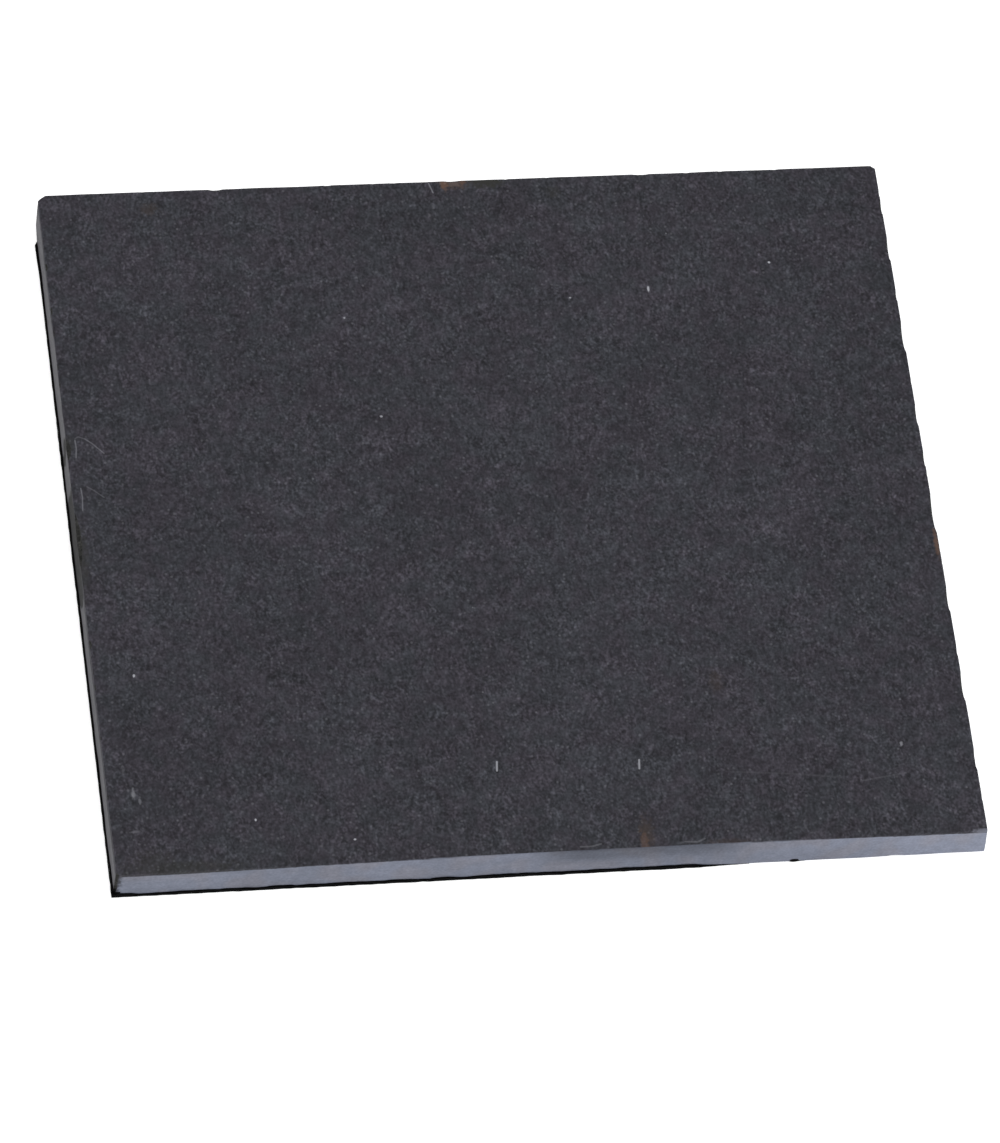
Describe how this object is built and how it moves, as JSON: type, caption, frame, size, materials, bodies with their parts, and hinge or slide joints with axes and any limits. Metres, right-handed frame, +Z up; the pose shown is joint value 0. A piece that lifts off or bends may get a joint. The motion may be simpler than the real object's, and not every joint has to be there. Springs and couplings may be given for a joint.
{
  "type": "basalt massage slab",
  "caption": "Flat rectangular slab of solid dark basalt with pale sawn edges, laid warm or cold under or on the body.",
  "frame": {"origin": "middle of the flat underside, at table level", "axes": "+X along the 400 mm width, +Y along the 360 mm depth away from the sawn front edge, +Z up through the 20 mm thickness"},
  "size_m": [0.3999, 0.36, 0.02],
  "materials": {
    "dark_basalt": "matte"
  },
  "bodies": {
    "root": {"basalt_slab": "dark_basalt"}
  },
  "joints": []
}
